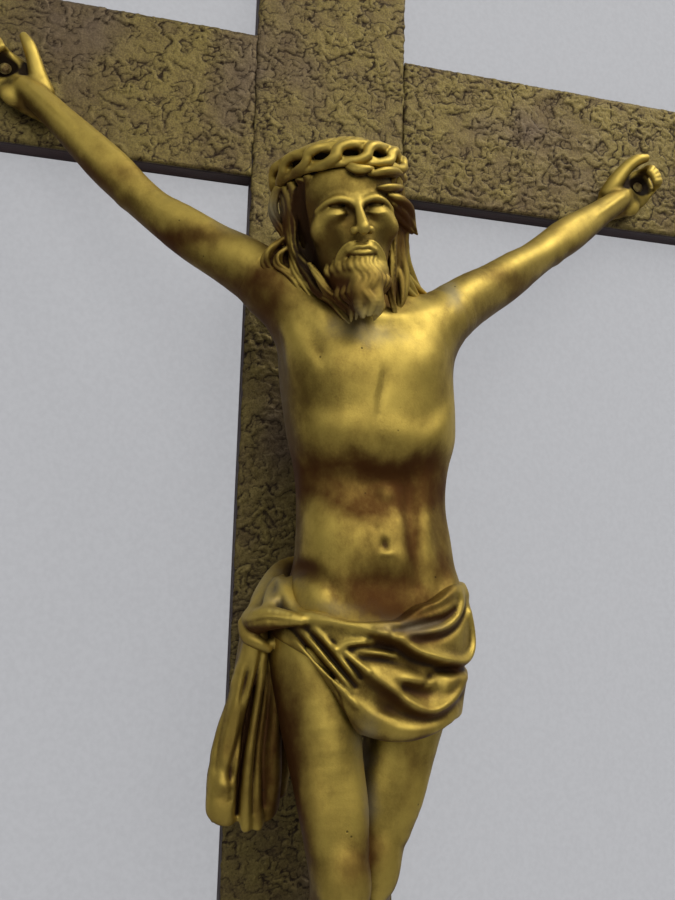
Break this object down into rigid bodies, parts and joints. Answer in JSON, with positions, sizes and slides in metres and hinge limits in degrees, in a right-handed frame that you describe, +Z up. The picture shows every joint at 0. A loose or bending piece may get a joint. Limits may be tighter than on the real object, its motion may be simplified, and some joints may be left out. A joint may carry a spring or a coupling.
{
  "type": "crucifix",
  "caption": "Wall crucifix: a half-lapped wooden cross with bark-textured metal facings and a cast metal corpus held by nails.",
  "frame": {"origin": "middle of the keyhole slot's entry hole, on the back plane of the upright, which lies against the wall", "axes": "+Z up along the upright, +Y back into the wall, +X to the viewer's right"},
  "size_m": [0.39, 0.0907, 0.64],
  "materials": {
    "wood": "dark purple-brown stain, smooth satin",
    "facing": "bronze-gold sheet with a rough bark relief, dark in the hollows",
    "cast_metal": "worn olive-gold casting with red-brown patina in the hollows",
    "crown": "worn gold twigs with dark hollows between them",
    "nail": "dull brass"
  },
  "bodies": {
    "root": {"upright": "wood", "crossbar": "wood", "upright_facing": "facing", "left_facing": "facing", "right_facing": "facing", "corpus": "cast_metal", "left_arm": "cast_metal", "right_arm": "cast_metal", "arm_pins": "nail", "crown_of_thorns": "crown", "hand_nails": "nail", "foot_nail": "nail"}
  },
  "joints": []
}
